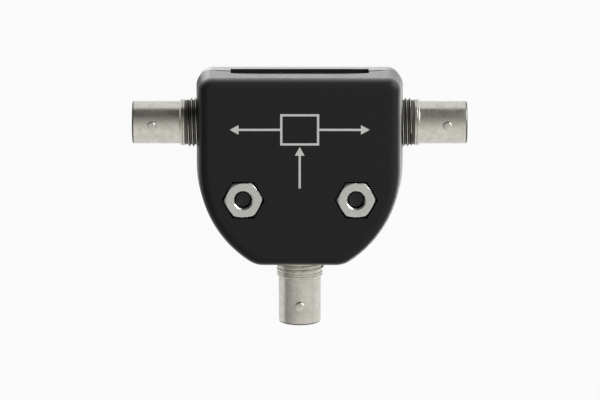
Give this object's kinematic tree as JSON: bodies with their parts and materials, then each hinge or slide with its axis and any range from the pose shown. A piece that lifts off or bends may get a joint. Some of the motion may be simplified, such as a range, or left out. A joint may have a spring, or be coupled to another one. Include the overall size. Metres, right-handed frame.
{
  "type": "rf power splitter",
  "caption": "Radio-frequency power splitter: a flat black clamshell case with bayonet coaxial jacks at both sides and at the bottom, dividing one signal between its outputs.",
  "frame": {"origin": "on the rear face, under the point where the side jacks' axis crosses the bottom jack's axis", "axes": "+X along the side jacks towards the right one, +Y towards the flat top edge, +Z out of the front face"},
  "size_m": [0.076, 0.0586, 0.018],
  "materials": {
    "case": "black moulding with a fine eroded grain",
    "jack_plating": "nickel plated brass",
    "insulator": "white fluoropolymer",
    "contact": "gold plated",
    "nut": "bright zinc plated",
    "screw": "black oxide",
    "board": "solder resist on glass laminate",
    "ferrite": "sintered ferrite",
    "copper_wire": "enamelled copper",
    "resistor_chip": "glazed film chip",
    "capacitor_chip": "fired ceramic chip",
    "legend": "pad printed ink on the front face"
  },
  "bodies": {
    "root": {"front_shell": "case", "rear_shell": "case", "left_jack_body": "jack_plating", "left_jack_insulator": "insulator", "left_jack_contact": "contact", "right_jack_body": "jack_plating", "right_jack_insulator": "insulator", "right_jack_contact": "contact", "bottom_jack_body": "jack_plating", "bottom_jack_insulator": "insulator", "bottom_jack_contact": "contact", "left_nut": "nut", "right_nut": "nut", "left_screw": "screw", "right_screw": "screw", "circuit_board": "board", "hybrid_core": "ferrite", "hybrid_winding": "copper_wire", "matching_core": "ferrite", "matching_winding": "copper_wire", "isolation_resistor": "resistor_chip", "tuning_capacitor": "capacitor_chip"}
  },
  "joints": []
}
